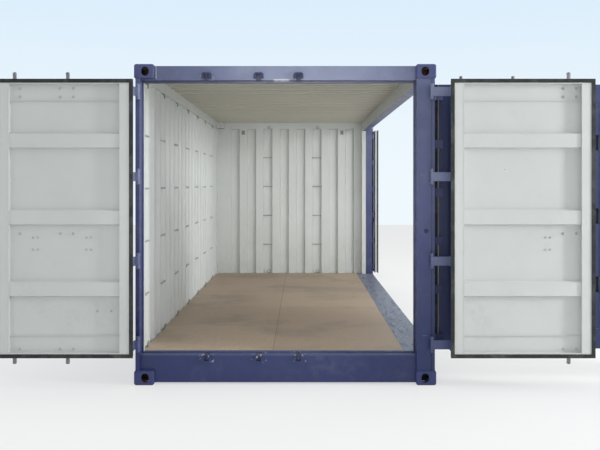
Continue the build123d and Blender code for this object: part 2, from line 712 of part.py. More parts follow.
def post_hinge(end, level):
    """Knuckle on the post with the strap that carries the first leaf."""
    pin_x = end * SIDE_PIN_X
    low = level - SIDE_HINGE_HEIGHT / 2
    span = (low, low + SIDE_HINGE_HEIGHT)
    strap_end = pin_x - end * SIDE_STRAP
    with BuildPart() as strap:
        upright(pin_x, SIDE_PIN_Y, low, KNUCKLE_R, SIDE_HINGE_HEIGHT)
        block((pin_x, strap_end), (SIDE_PIN_Y - STRAP / 2, SIDE_PIN_Y + STRAP / 2), span)
        block((strap_end + end * STRAP, strap_end), (SIDE_PIN_Y, LEAF_OUTER), span)
    with BuildPart() as lug:
        block((pin_x - KNUCKLE_R / 2, pin_x + KNUCKLE_R / 2), (SIDE_PIN_Y, -POST_OUT), span)
    return swung(strap.part, end) + lug.part


def fold_hinge(end, level):
    """Knuckle on the outer faces where two leaves meet."""
    near, far = leaf_span(end, 0)
    joint_x = far - end * LEAF_GAP / 2
    low = level - SIDE_HINGE_HEIGHT / 2
    with BuildPart() as knuckle:
        upright(joint_x, LEAF_OUTER - KNUCKLE_R, low, KNUCKLE_R, SIDE_HINGE_HEIGHT)
        block(
            (joint_x - STRAP_FOOT, joint_x + STRAP_FOOT),
            (LEAF_OUTER - STRAP, LEAF_OUTER),
            (low, low + SIDE_HINGE_HEIGHT),
        )
    return swung(knuckle.part, end)


for end_name, end in (("front", -1), ("rear", 1)):
    for order, leaf_name in enumerate(("post", "middle")):
        save(leaf_frame(end, order), f"side_door_{end_name}_{leaf_name}_frame")
        save(leaf_panel(end, order), f"side_door_{end_name}_{leaf_name}_panel")
    save(Compound(children=[leaf_gasket(end, order) for order in (0, 1)]), f"side_door_{end_name}_gaskets")
    rods = [leaf_rod(end, order, offset) for order in (0, 1) for offset in SIDE_RODS[order]]
    save(Compound(children=rods), f"side_door_{end_name}_lock_rods")
    hinges = [post_hinge(end, level) for level in SIDE_HINGE_LEVELS]
    save(Compound(children=hinges), f"side_door_{end_name}_post_hinges")
    folds = [fold_hinge(end, level) for level in SIDE_HINGE_LEVELS]
    save(Compound(children=folds), f"side_door_{end_name}_fold_hinges")

# Lashing bars across the recesses of the two walls
bars = []
for bay in range(0, SIDE_BAYS, LASH_BAY_STEP):
    bar_x = -POST_X + (bay + 0.5) * SIDE_PITCH
    span = SIDE_PITCH - SIDE_CREST
    for level in LASH_LEVELS:
        with BuildPart() as bar:
            with BuildSketch(Plane.YZ.offset(bar_x - span / 2)):
                with Locations((WALL_Y - LASH_R, level)):
                    Circle(LASH_R)
            extrude(amount=span)
        bars.append(bar.part)
save(Compound(children=bars), "side_lashing_bars")

bars = []
for bays in LASH_END_BAYS:
    bar_y = END_START + (END_BAYS / 2 + bays) * END_PITCH
    span = END_PITCH - END_CREST
    for level in LASH_LEVELS:
        with BuildPart() as bar:
            with BuildSketch(Plane.XZ.offset(-bar_y - span / 2)):
                with Locations((WALL_X - LASH_R, level)):
                    Circle(LASH_R)
            extrude(amount=span)
        bars.append(bar.part)
save(Compound(children=bars), "rear_lashing_bars")
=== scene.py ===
import math

import bmesh
import bpy
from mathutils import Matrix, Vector


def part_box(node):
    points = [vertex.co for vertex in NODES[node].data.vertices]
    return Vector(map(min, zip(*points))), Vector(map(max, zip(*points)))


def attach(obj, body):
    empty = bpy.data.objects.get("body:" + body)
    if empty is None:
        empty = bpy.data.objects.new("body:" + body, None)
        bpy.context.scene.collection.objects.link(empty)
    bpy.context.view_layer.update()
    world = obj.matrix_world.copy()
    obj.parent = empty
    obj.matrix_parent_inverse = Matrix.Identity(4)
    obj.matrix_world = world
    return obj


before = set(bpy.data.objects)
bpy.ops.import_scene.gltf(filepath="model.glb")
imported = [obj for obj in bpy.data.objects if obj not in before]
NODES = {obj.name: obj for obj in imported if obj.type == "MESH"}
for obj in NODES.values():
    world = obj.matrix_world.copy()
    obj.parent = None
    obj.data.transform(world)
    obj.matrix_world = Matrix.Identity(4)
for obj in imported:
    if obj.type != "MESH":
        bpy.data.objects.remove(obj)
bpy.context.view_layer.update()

# Colours are linear, as the shaders take them.
NAVY_LOW = (0.015, 0.027, 0.120)
NAVY_MIDDLE = (0.045, 0.057, 0.172)
NAVY_HIGH = (0.105, 0.124, 0.245)
NAVY_TOP = (0.185, 0.213, 0.340)
NAVY_DEEP = (0.020, 0.027, 0.080)
PALE = (0.600, 0.625, 0.610)
PALE_WALL = (0.640, 0.672, 0.665)
PALE_GRIME = (0.420, 0.425, 0.385)
PALE_ROOF = (0.510, 0.500, 0.425)
RUST = (0.165, 0.062, 0.026)
RUST_DARK = (0.060, 0.026, 0.014)
SCUFF = (0.560, 0.580, 0.620)
RUBBER = (0.022, 0.024, 0.024)
RUBBER_DUST = (0.115, 0.120, 0.115)
ZINC = (0.330, 0.335, 0.330)
ZINC_DARK = (0.170, 0.172, 0.170)
TIMBER = (0.440, 0.334, 0.246)
TIMBER_DARK = (0.302, 0.226, 0.165)
TIMBER_LIGHT = (0.540, 0.425, 0.317)
WORN_STEEL_AND_SHEEN = (0.185, 0.200, 0.250)
FLOOR_COLOUR = (0.840, 0.845, 0.850)
NAVY_STOPS = ((0.0, NAVY_LOW), (0.13, NAVY_LOW), (0.5, NAVY_MIDDLE), (0.90, NAVY_HIGH), (1.0, NAVY_HIGH))
HEADER_STOPS = ((0.0, NAVY_LOW), (0.5, NAVY_MIDDLE), (0.88, NAVY_HIGH), (0.96, NAVY_TOP))
CASTING_STOPS = ((0.0, (0.028, 0.042, 0.150)), (0.5, (0.058, 0.072, 0.195)), (1.0, (0.062, 0.076, 0.200)))
STRAP_STOPS = ((0.0, (0.052, 0.066, 0.188)), (0.3, (0.115, 0.136, 0.264)), (1.0, (0.222, 0.254, 0.386)))
# Darker navy for the cam keepers: painted shade of their hollow insides.
KEEPER_SHADE_STOPS = ((0.0, NAVY_LOW), (1.0, (0.020, 0.026, 0.088)))
KEEPER_SHADOW = (0.012, 0.016, 0.050)
HEADER_SHADE = (0.052, 0.064, 0.150)
HEADER_MIDDLE_LIGHTER = (0.280, 0.312, 0.425)
SILL_TOP_HIGHLIGHT = (0.085, 0.105, 0.205)
LEAF_SHADED_STOPS = ((0.0, (0.014, 0.028, 0.116)), (1.0, (0.034, 0.049, 0.160)))
LEAF_LIT_BY_POST = (0.033, 0.047, 0.136)
CAST_DARK = (0.026, 0.030, 0.042)
TIMBER_STAIN = (0.185, 0.160, 0.135)
TIMBER_RUN = (0.110, 0.090, 0.075)
TIMBER_SEAM = (0.180, 0.110, 0.080)
SEALANT = (0.640, 0.640, 0.600)
# Darker greys for the lashing bars than their pale paint: painted shade.
SHADE_DARKENED_GREY = (0.300, 0.310, 0.300)
SHADE_DARKENED_WALL_BAR = (0.430, 0.445, 0.435)
DOOR_BOLT = (0.500, 0.515, 0.500)

# Places in metres, in the frame that the CAD model is drawn in. Heights are from the ground.
REAR = 3.029
FRONT = -REAR
HALF_WIDTH = 1.219
HEIGHT = 2.591
MIDDLE_HEIGHT = HEIGHT / 2
FITTING_LENGTH = 0.178
FITTING_WIDTH = 0.162
FITTING_HEIGHT = 0.118
FITTING_TOP = HEIGHT - FITTING_HEIGHT
FITTING_INNER = HALF_WIDTH - FITTING_WIDTH
POST_X = 2.869
POST_OUT = 1.207
SLIM_POST_INNER = 1.160
WIDE_POST_INNER = 1.053
FLOOR_TOP = 0.252
REAR_WALL_OUT = 2.985
LEFT_WALL_OUT = 1.178
DOOR_LOW = 0.263
DOOR_HIGH = 2.441
DOOR_MIDDLE = (DOOR_LOW + DOOR_HIGH) / 2
LEFT_DOOR_Y = (1.200, 2.266)
RIGHT_DOOR_Y = (1.313, 2.432)
CAM_START = DOOR_HIGH - DOOR_MIDDLE + 0.002
EDGE_PAINT = 0.0005
SHEET_LENGTH = 1.20
SHEET_WIDTH = 1.08
KEEPER_PLACES = (0.215, 0.637, -0.107)
# Lines are counted from this many pitches before the origin, so that the value stays positive.
LINES_BEFORE = 50.0


class Shader:
    """A node material that is built up one node at a time. Every call gives back the new node's output."""

    def __init__(self, name, roughness=0.5, specular=0.5):
        self.material = bpy.data.materials.new(name)
        self.material.use_nodes = True
        self.tree = self.material.node_tree
        self.tree.nodes.clear()
        self.out = self.tree.nodes.new("ShaderNodeOutputMaterial")
        self.surface = self.tree.nodes.new("ShaderNodeBsdfPrincipled")
        self.surface.inputs["Roughness"].default_value = roughness
        self.surface.inputs["Specular IOR Level"].default_value = specular
        self.join(self.surface.outputs[0], self.out.inputs["Surface"])
        self.coordinates = self.tree.nodes.new("ShaderNodeTexCoord")
        self.place = self.coordinates.outputs["Object"]

    def join(self, source, target):
        self.tree.links.new(source, target)

    def feed(self, target, value):
        if isinstance(value, bpy.types.NodeSocket):
            self.join(value, target)
        elif isinstance(value, tuple):
            target.default_value = value if target.type == "VECTOR" else (*value, 1.0)
        else:
            target.default_value = value

    def math(self, operation, first, second=0.0):
        node = self.tree.nodes.new("ShaderNodeMath")
        node.operation = operation
        self.feed(node.inputs[0], first)
        self.feed(node.inputs[1], second)
        return node.outputs[0]

    def times(self, first, second):
        return self.math("MULTIPLY", first, second)

    def most(self, *values):
        """The largest of several values."""
        largest = values[0]
        for value in values[1:]:
            largest = self.math("MAXIMUM", largest, value)
        return largest

    def least(self, *values):
        smallest = values[0]
        for value in values[1:]:
            smallest = self.math("MINIMUM", smallest, value)
        return smallest

    def inverse(self, value):
        return self.math("SUBTRACT", 1.0, value)

    def below(self, value, limit):
        return self.math("LESS_THAN", value, limit)

    def above(self, value, limit):
        return self.math("GREATER_THAN", value, limit)

    def off(self, value, centre):
        """Distance from the centre, on either side."""
        return self.math("ABSOLUTE", self.math("SUBTRACT", value, centre))

    def axes(self):
        node = self.tree.nodes.new("ShaderNodeSeparateXYZ")
        self.join(self.place, node.inputs[0])
        return node.outputs

    def scaled(self, scale):
        node = self.tree.nodes.new("ShaderNodeMapping")
        self.join(self.place, node.inputs["Vector"])
        node.inputs["Scale"].default_value = scale
        return node.outputs[0]

    def noise(self, scale, detail=3.0, roughness=0.55, distortion=0.0, vector=None):
        node = self.tree.nodes.new("ShaderNodeTexNoise")
        self.feed(node.inputs["Vector"], vector or self.place)
        node.inputs["Scale"].default_value = scale
        node.inputs["Detail"].default_value = detail
        node.inputs["Roughness"].default_value = roughness
        node.inputs["Distortion"].default_value = distortion
        return node.outputs["Fac"]

    def cells(self, scale):
        node = self.tree.nodes.new("ShaderNodeTexVoronoi")
        self.join(self.place, node.inputs["Vector"])
        node.inputs["Scale"].default_value = scale
        return node.outputs["Distance"]

    def step(self, value, low, high):
        node = self.tree.nodes.new("ShaderNodeMapRange")
        node.interpolation_type = "SMOOTHSTEP"
        self.feed(node.inputs["Value"], value)
        for name, number in (("From Min", low), ("From Max", high), ("To Min", 0.0), ("To Max", 1.0)):
            self.feed(node.inputs[name], number)
        return node.outputs[0]

    def span(self, value, low, high, to_low, to_high):
        node = self.tree.nodes.new("ShaderNodeMapRange")
        self.feed(node.inputs["Value"], value)
        for name, number in (("From Min", low), ("From Max", high), ("To Min", to_low), ("To Max", to_high)):
            self.feed(node.inputs[name], number)
        return node.outputs[0]

    def spread(self, noise, low, high):
        """A noise, whose values mostly lie from 0.3 to 0.7, stretched from low to high."""
        return self.span(noise, 0.3, 0.7, low, high)

    def ramp(self, value, stops):
        node = self.tree.nodes.new("ShaderNodeValToRGB")
        self.feed(node.inputs[0], value)
        elements = node.color_ramp.elements
        while len(elements) < len(stops):
            elements.new(0.5)
        for element, (position, colour) in zip(elements, stops):
            element.position = position
            element.color = (*colour, 1.0)
        return node.outputs[0]

    def mix(self, amount, first, second):
        node = self.tree.nodes.new("ShaderNodeMix")
        node.data_type = "RGBA"
        self.feed(node.inputs["Factor"], amount)
        self.feed(node.inputs["A"], first)
        self.feed(node.inputs["B"], second)
        return node.outputs["Result"]

    def blend(self, amount, first, second):
        node = self.tree.nodes.new("ShaderNodeMix")
        self.feed(node.inputs["Factor"], amount)
        self.feed(node.inputs["A"], first)
        self.feed(node.inputs["B"], second)
        return node.outputs["Result"]

    def facing(self, direction, low=0.15, high=0.35):
        """1 where the object's own surface faces that way, in its frame at rest."""
        node = self.tree.nodes.new("ShaderNodeVectorMath")
        node.operation = "DOT_PRODUCT"
        self.join(self.coordinates.outputs["Normal"], node.inputs[0])
        node.inputs[1].default_value = direction
        return self.step(node.outputs["Value"], low, high)

    def near(self, value, centre, reach, soft):
        """1 within reach of centre, fading over soft."""
        return self.inverse(self.step(self.off(value, centre), reach, reach + soft))

    def lines(self, value, pitch, width):
        """1 on thin lines a pitch apart."""
        moved = self.math("ADD", value, LINES_BEFORE * pitch + pitch / 2)
        part = self.off(self.math("MODULO", moved, pitch), pitch / 2)
        return self.below(part, width / 2)

    def bump(self, height, strength, distance, normal=None):
        node = self.tree.nodes.new("ShaderNodeBump")
        node.inputs["Strength"].default_value = strength
        node.inputs["Distance"].default_value = distance
        self.feed(node.inputs["Height"], height)
        if normal is not None:
            self.join(normal, node.inputs["Normal"])
        return node.outputs[0]

    def done(self, colour, roughness=None, normal=None, metallic=None):
        self.feed(self.surface.inputs["Base Color"], colour)
        if roughness is not None:
            self.feed(self.surface.inputs["Roughness"], roughness)
        if normal is not None:
            self.join(normal, self.surface.inputs["Normal"])
        if metallic is not None:
            self.feed(self.surface.inputs["Metallic"], metallic)
        return self.material


def grime(shade, amount=1.0):
    """Broad dirt, in patches about half a metre across."""
    broad = shade.noise(2.2, 4.0, 0.6)
    fine = shade.noise(19.0, 5.0, 0.65)
    patches = shade.times(shade.step(broad, 0.45, 0.78), shade.step(fine, 0.35, 0.72))
    return shade.times(patches, amount)


def rust_spots(shade, grain, low, high, field, thin, thick):
    """Small spots, only where a broad field is high."""
    return shade.times(shade.step(grain, low, high), shade.step(field, thin, thick))


def navy_coat(shade, stops=NAVY_STOPS):
    """The navy paint, darker towards the bottom and lighter towards the top, with dust, chips, scratches and rust.
    """
    axes = shade.axes()
    height = shade.math("ADD", axes[2], shade.spread(shade.noise(1.7, 3.0), -0.12, 0.12))
    base = shade.ramp(shade.span(height, 0.0, 2.6, 0.0, 1.0), stops)
    mottled = shade.mix(shade.spread(shade.noise(7.0, 5.0, 0.6), 0.0, 0.30), base, NAVY_DEEP)
    dusty = shade.mix(shade.times(grime(shade), 0.35), mottled, ZINC_DARK)
    scratch = shade.step(shade.noise(3.0, 4.0, 0.7, 0.6, shade.scaled((9.0, 1.3, 26.0))), 0.715, 0.745)
    scratched = shade.mix(shade.times(scratch, 0.45), dusty, SCUFF)
    spots = rust_spots(shade, shade.noise(46.0, 3.0, 0.6), 0.66, 0.72, shade.noise(1.9, 3.0, 0.6), 0.50, 0.62)
    runs = shade.noise(6.0, 3.0, 0.6, 0.0, shade.scaled((5.0, 5.0, 0.35)))
    streaks = rust_spots(shade, runs, 0.66, 0.78, shade.noise(1.3, 2.0), 0.50, 0.64)
    stained = shade.mix(shade.times(streaks, 0.40), scratched, RUST)
    colour = shade.mix(spots, stained, shade.mix(shade.noise(120.0), RUST, RUST_DARK))
    rough = shade.spread(shade.noise(11.0, 4.0), 0.36, 0.58)
    rough = shade.blend(spots, rough, 0.85)
    orange_peel = shade.noise(160.0, 2.0)
    rolled = shade.noise(3.0, 2.0)
    normal = shade.bump(orange_peel, 0.06, 0.001)
    normal = shade.bump(rolled, 0.12, 0.004, normal)
    normal = shade.bump(shade.inverse(spots), 0.35, 0.0008, normal)
    return colour, rough, normal


def darker(colour, share):
    return tuple(channel * share for channel in colour)


def pale_coat(shade, base=PALE, dirt=1.0):
    """The pale grey inner paint, with dust low down, hand marks and a few rust spots."""
    axes = shade.axes()
    toned = shade.mix(shade.spread(shade.noise(1.1, 3.0), 0.0, 0.5), base, darker(base, 0.90))
    clouds = shade.span(shade.noise(6.0, 5.0, 0.6), 0.35, 0.7, 0.0, 0.35)
    cloudy = shade.mix(clouds, toned, darker(base, 0.93))
    low = shade.inverse(shade.step(axes[2], 0.26, 0.95))
    dirty = shade.times(shade.math("ADD", shade.times(low, 0.35), 0.22), grime(shade, dirt))
    soiled = shade.mix(dirty, cloudy, PALE_GRIME)
    rub = shade.step(shade.noise(4.0, 4.0, 0.7, 0.5, shade.scaled((2.0, 2.0, 17.0))), 0.70, 0.76)
    rub_band = shade.times(shade.near(axes[2], 0.85, 0.45, 0.3), shade.times(rub, 0.22 * dirt))
    rubbed = shade.mix(rub_band, soiled, ZINC_DARK)
    spots = rust_spots(shade, shade.noise(64.0, 2.0, 0.6), 0.715, 0.75, shade.noise(2.6, 3.0), 0.58, 0.68)
    colour = shade.mix(shade.times(spots, 0.75), rubbed, RUST)
    rough = shade.spread(shade.noise(9.0, 4.0), 0.42, 0.60)
    normal = shade.bump(shade.noise(170.0, 2.0), 0.05, 0.001)
    normal = shade.bump(shade.noise(2.4, 2.0), 0.10, 0.005, normal)
    return colour, rough, normal


def navy_paint(name, stops=NAVY_STOPS):
    shade = Shader(name)
    return shade.done(*navy_coat(shade, stops))


def two_tone(name, outward, base=PALE):
    """Navy on the side that faces outward, in the object's frame at rest, and pale grey elsewhere."""
    shade = Shader(name)
    navy, rough, normal = navy_coat(shade)
    pale, pale_rough, _ = pale_coat(shade, base)
    outside = shade.facing(outward)
    return shade.done(shade.mix(outside, pale, navy), shade.blend(outside, pale_rough, rough), normal)


def part_pale(name, rule, base=PALE, dirt=1.0):
    """Navy, with the pale inner paint where the rule says so."""
    shade = Shader(name)
    navy, rough, normal = navy_coat(shade)
    pale, pale_rough, _ = pale_coat(shade, base, dirt)
    inside = rule(shade)
    return shade.done(shade.mix(inside, navy, pale), shade.blend(inside, rough, pale_rough), normal)


def slim_front_post(shade):
    within = shade.below(shade.axes()[1], SLIM_POST_INNER + 0.007)
    return shade.most(shade.facing((1.0, 0.0, 0.0)), shade.times(shade.facing((0.0, -1.0, 0.0)), within))


def slim_rear_post(shade):
    axes = shade.axes()
    forward = shade.times(shade.facing((-1.0, 0.0, 0.0)), shade.below(axes[1], LEFT_WALL_OUT))
    across = shade.times(shade.facing((0.0, -1.0, 0.0)), shade.below(axes[0], REAR_WALL_OUT))
    return shade.most(forward, across)


def wide_rear_post(shade):
    axes = shade.axes()
    across = shade.times(shade.facing((0.0, 1.0, 0.0)), shade.below(axes[0], REAR_WALL_OUT))
    within = shade.above(axes[1], -WIDE_POST_INNER - 0.0585)
    return shade.most(across, shade.times(shade.facing((-1.0, 0.0, 0.0)), within))


def open_side_rail(shade):
    return shade.facing((0.0, 1.0, 0.0))


def roof_inside(shade):
    return shade.facing((0.0, 0.0, -1.0), 0.05, 0.15)


def left_top_rail(shade):
    return shade.most(shade.facing((0.0, -1.0, 0.0)), shade.facing((0.0, 0.0, -1.0)))


def rear_top_rail(shade):
    return shade.most(shade.facing((-1.0, 0.0, 0.0)), shade.facing((0.0, 0.0, -1.0)))


def door_inside(span):
    """Pale on the hold's side of an end door, navy on its outer face and round its edges."""
    def rule(shade):
        axes = shade.axes()
        across = shade.math("ABSOLUTE", axes[1])
        sides = (shade.below(across, span[0] + EDGE_PAINT), shade.above(across, span[1] - EDGE_PAINT))
        ends = (shade.below(axes[2], DOOR_LOW + EDGE_PAINT), shade.above(axes[2], DOOR_HIGH - EDGE_PAINT))
        return shade.inverse(shade.most(*sides, *ends, shade.facing((1.0, 0.0, 0.0))))
    return rule


def plain_paint(name, base, roughness=0.6):
    """One tone with slight wear, for small pieces."""
    shade = Shader(name, roughness)
    tone = shade.mix(shade.spread(shade.noise(24.0, 4.0), 0.0, 0.6), base, darker(base, 0.72))
    normal = shade.bump(shade.noise(140.0, 2.0), 0.12, 0.0006)
    return shade.done(shade.mix(grime(shade, 0.6), tone, ZINC_DARK), normal=normal)


def keeper_shade_and_wear(shade, colour, level, amount):
    """Painted shade in the recesses behind the cam keepers, with bare scuffs round them."""
    axes = shade.axes()
    for place in KEEPER_PLACES:
        beside = shade.near(axes[1], place, 0.019, 0.003)
        inside = shade.times(beside, shade.near(axes[2], level, 0.025, 0.003))
        # Painted shade inside each keeper's recess.
        colour = shade.mix(shade.times(inside, 0.88), colour, KEEPER_SHADOW)
        rim = shade.times(shade.near(axes[1], place, 0.050, 0.020), shade.near(axes[2], level, 0.026, 0.020))
        chip = shade.times(rim, shade.step(shade.noise(34.0, 4.0, 0.7), 0.58, 0.64))
        colour = shade.mix(shade.times(chip, amount), colour, SCUFF)
    return colour


def header_paint(name):
    """Lighter towards its top and in the middle, with painted shade underneath and at the left, scuffed on the
    lower edge.
    """
    shade = Shader(name)
    navy, rough, normal = navy_coat(shade, HEADER_STOPS)
    axes = shade.axes()
    # Painted shade: the left part of the header is darker.
    left = shade.step(axes[1], 0.25, 0.95)
    navy = shade.mix(shade.times(left, 0.55), navy, HEADER_SHADE)
    middle = shade.near(axes[1], -0.15, 0.35, 0.45)
    navy = shade.mix(shade.times(middle, 0.50), navy, HEADER_MIDDLE_LIGHTER)
    # Painted shade on the faces that look down.
    under = shade.facing((0.0, 0.0, -1.0))
    navy = shade.mix(under, navy, NAVY_DEEP)
    lip = shade.times(shade.near(axes[1], 0.030, 0.045, 0.030), shade.near(axes[2], 2.4675, 0.003, 0.006))
    navy = shade.mix(shade.times(lip, shade.step(shade.noise(30.0, 4.0), 0.36, 0.46)), navy, SCUFF)
    return shade.done(keeper_shade_and_wear(shade, navy, 2.488, 0.2), rough, normal)


def sill_paint(name):
    """Deep blue, with a painted highlight on its top edge and white scuffs at the keepers."""
    shade = Shader(name)
    navy, rough, normal = navy_coat(shade)
    axes = shade.axes()
    top = shade.most(shade.facing((0.0, 0.0, 1.0)), shade.times(shade.step(axes[2], 0.226, 0.240), 0.6))
    # Painted highlight on the sill's upward faces and top edge.
    navy = shade.mix(shade.times(top, 0.75), navy, SILL_TOP_HIGHLIGHT)
    return shade.done(keeper_shade_and_wear(shade, navy, 0.216, 0.8), rough, normal)


def leaf_paint(name):
    """Front folding doors: pale inside, and outside a darker navy that is painted shade, with painted light beside
    the post.
    """
    shade = Shader(name)
    # The leaves' darker navy is painted shade.
    deep, rough, normal = navy_coat(shade, LEAF_SHADED_STOPS)
    # Painted light on the part beside the post.
    deep = shade.mix(shade.step(shade.axes()[1], -1.50, -1.38), deep, LEAF_LIT_BY_POST)
    pale, pale_rough, _ = pale_coat(shade)
    outside = shade.facing((-1.0, 0.0, 0.0))
    return shade.done(shade.mix(outside, pale, deep), shade.blend(outside, pale_rough, rough), normal)


def cam_paint(name):
    """Lock rods: the door's navy in the middle, and bare grey cams at the ends."""
    shade = Shader(name)
    navy, rough, normal = navy_coat(shade)
    axes = shade.axes()
    ends = shade.above(shade.off(axes[2], DOOR_MIDDLE), CAM_START)
    worn = shade.times(ends, shade.step(shade.noise(36.0, 4.0), 0.32, 0.46))
    colour = shade.mix(shade.times(worn, 0.85), navy, ZINC)
    return shade.done(colour, rough, normal)


def pale_paint(name):
    shade = Shader(name)
    return shade.done(*pale_coat(shade))


def rubber(name):
    shade = Shader(name, specular=0.35)
    dust = shade.times(shade.step(shade.noise(8.0, 5.0, 0.65), 0.42, 0.72), 0.55)
    colour = shade.mix(dust, RUBBER, RUBBER_DUST)
    rough = shade.spread(shade.noise(14.0, 3.0), 0.62, 0.85)
    normal = shade.bump(shade.noise(90.0, 3.0), 0.15, 0.001)
    return shade.done(colour, rough, normal)


def zinc(name, rusty=0.5):
    """Galvanised steel gone dull, with some rust."""
    shade = Shader(name)
    spangle = shade.cells(95.0)
    base = shade.mix(shade.span(spangle, 0.0, 0.9, 0.0, 1.0), ZINC, ZINC_DARK)
    smeared = shade.mix(grime(shade, 0.6), base, NAVY_MIDDLE)
    rust = shade.times(shade.step(shade.noise(23.0, 5.0, 0.65), 0.52, 0.66), rusty)
    colour = shade.mix(rust, smeared, shade.mix(shade.noise(70.0), RUST, RUST_DARK))
    rough = shade.blend(rust, shade.spread(shade.noise(30.0), 0.36, 0.55), 0.9)
    normal = shade.bump(shade.noise(85.0, 4.0), 0.20, 0.0008)
    return shade.done(colour, rough, normal, shade.span(rust, 0.0, 1.0, 0.65, 0.0))


def casting_paint(name):
    """Corner fittings: navy outside, pale towards the hold at the rear, rusty round and in the apertures."""
    shade = Shader(name)
    navy, rough, normal = navy_coat(shade, CASTING_STOPS)
    axes = shade.axes()
    depths = []
    centres = (0.0, 0.0, MIDDLE_HEIGHT)
    halves = (REAR, HALF_WIDTH, MIDDLE_HEIGHT)
    sizes = (FITTING_LENGTH, FITTING_WIDTH, FITTING_HEIGHT)
    for axis, centre, half, size in zip(axes, centres, halves, sizes):
        away = shade.off(axis, centre)
        depths.append(shade.math("SUBTRACT", half, away))
        depths.append(shade.math("SUBTRACT", away, half - size))
    depth = shade.least(*depths)
    pale, _, _ = pale_coat(shade)
    from_left = shade.times(shade.facing((0.0, -1.0, 0.0)), shade.above(axes[1], 0.0))
    from_right = shade.times(shade.facing((0.0, 1.0, 0.0)), shade.below(axes[1], 0.0))
    inner = shade.most(from_left, from_right, shade.facing((-1.0, 0.0, 0.0)))
    navy = shade.mix(shade.times(inner, shade.above(axes[0], 0.0)), navy, pale)
    ragged = shade.math("ADD", depth, shade.spread(shade.noise(38.0, 4.0), -0.004, 0.004))
    bare = shade.step(ragged, 0.0015, 0.0070)
    rust = shade.mix(shade.step(shade.noise(28.0, 4.0), 0.45, 0.7), RUST_DARK, RUST)
    rust = shade.mix(shade.step(shade.noise(11.0, 4.0), 0.40, 0.58), rust, CAST_DARK)
    colour = shade.mix(bare, navy, rust)
    cast = shade.bump(shade.noise(75.0, 4.0), 0.22, 0.0012, normal)
    return shade.done(colour, shade.blend(bare, rough, 0.88), cast)


def worn_and_sheen_sill(name):
    """The threshold, where goods have slid: grey on top, partly navy paint worn through to steel and partly
    painted sheen.
    """
    shade = Shader(name)
    navy, navy_rough, normal = navy_coat(shade)
    top = shade.facing((0.0, 0.0, 1.0), 0.4, 0.8)
    slid = shade.noise(5.0, 5.0, 0.65, 0.4, shade.scaled((0.8, 5.0, 1.0)))
    worn = shade.times(top, shade.step(slid, 0.28, 0.52))
    bright = shade.noise(9.0, 5.0, 0.7, 0.8, shade.scaled((2.2, 9.0, 1.0)))
    steel = shade.mix(shade.step(bright, 0.50, 0.74), WORN_STEEL_AND_SHEEN, SCUFF)
    steel = shade.mix(shade.times(shade.step(shade.noise(14.0, 4.0), 0.54, 0.66), 0.35), steel, RUST)
    # The grey on top is partly worn paint and partly painted sheen.
    colour = shade.mix(shade.times(worn, 0.80), navy, steel)
    rough = shade.blend(worn, navy_rough, 0.42)
    return shade.done(colour, rough, shade.bump(slid, 0.18, 0.002, normal))


def plywood(name, front, right):
    """Sealed plywood: sheets across the hold, veneer grain, stains, hand truck tracks and scrapes."""
    shade = Shader(name, specular=0.35)
    axes = shade.axes()
    grain = shade.noise(5.0, 6.0, 0.62, 0.5, shade.scaled((2.4, 17.0, 1.0)))
    pore = shade.noise(9.0, 5.0, 0.7, 0.0, shade.scaled((3.0, 60.0, 1.0)))
    base = shade.mix(shade.step(grain, 0.32, 0.70), TIMBER, TIMBER_LIGHT)
    base = shade.mix(shade.times(shade.step(pore, 0.55, 0.75), 0.45), base, TIMBER_DARK)
    sheet = shade.tree.nodes.new("ShaderNodeTexWhiteNoise")
    sheet.noise_dimensions = "2D"
    cell = shade.tree.nodes.new("ShaderNodeCombineXYZ")
    along = shade.math("SUBTRACT", axes[0], front)
    across = shade.math("SUBTRACT", axes[1], right)
    shade.join(shade.math("FLOOR", shade.math("DIVIDE", along, SHEET_LENGTH)), cell.inputs[0])
    shade.join(shade.math("FLOOR", shade.math("DIVIDE", across, SHEET_WIDTH)), cell.inputs[1])
    shade.join(cell.outputs[0], sheet.inputs["Vector"])
    base = shade.mix(shade.span(sheet.outputs["Value"], 0.0, 1.0, 0.0, 0.30), base, TIMBER_DARK)
    stain = shade.times(shade.step(shade.noise(1.3, 4.0, 0.6), 0.48, 0.70), 0.36)
    stained = shade.mix(stain, base, TIMBER_STAIN)
    scrape = shade.step(shade.noise(4.0, 5.0, 0.72, 0.5, shade.scaled((13.0, 2.6, 1.0))), 0.66, 0.72)
    scraped = shade.mix(shade.times(scrape, 0.40), stained, TIMBER_LIGHT)
    dark_run = shade.step(shade.noise(5.0, 5.0, 0.7, 0.4, shade.scaled((12.0, 1.1, 1.0))), 0.655, 0.70)
    run = shade.mix(shade.times(dark_run, 0.42), scraped, TIMBER_RUN)
    seam = shade.most(shade.lines(along, SHEET_LENGTH, 0.0035), shade.lines(across, SHEET_WIDTH, 0.0060))
    colour = shade.mix(shade.times(seam, 0.55), run, TIMBER_SEAM)
    rough = shade.spread(grain, 0.46, 0.66)
    normal = shade.bump(pore, 0.16, 0.0008)
    normal = shade.bump(shade.inverse(seam), 0.6, 0.0015, normal)
    return shade.done(colour, rough, normal)


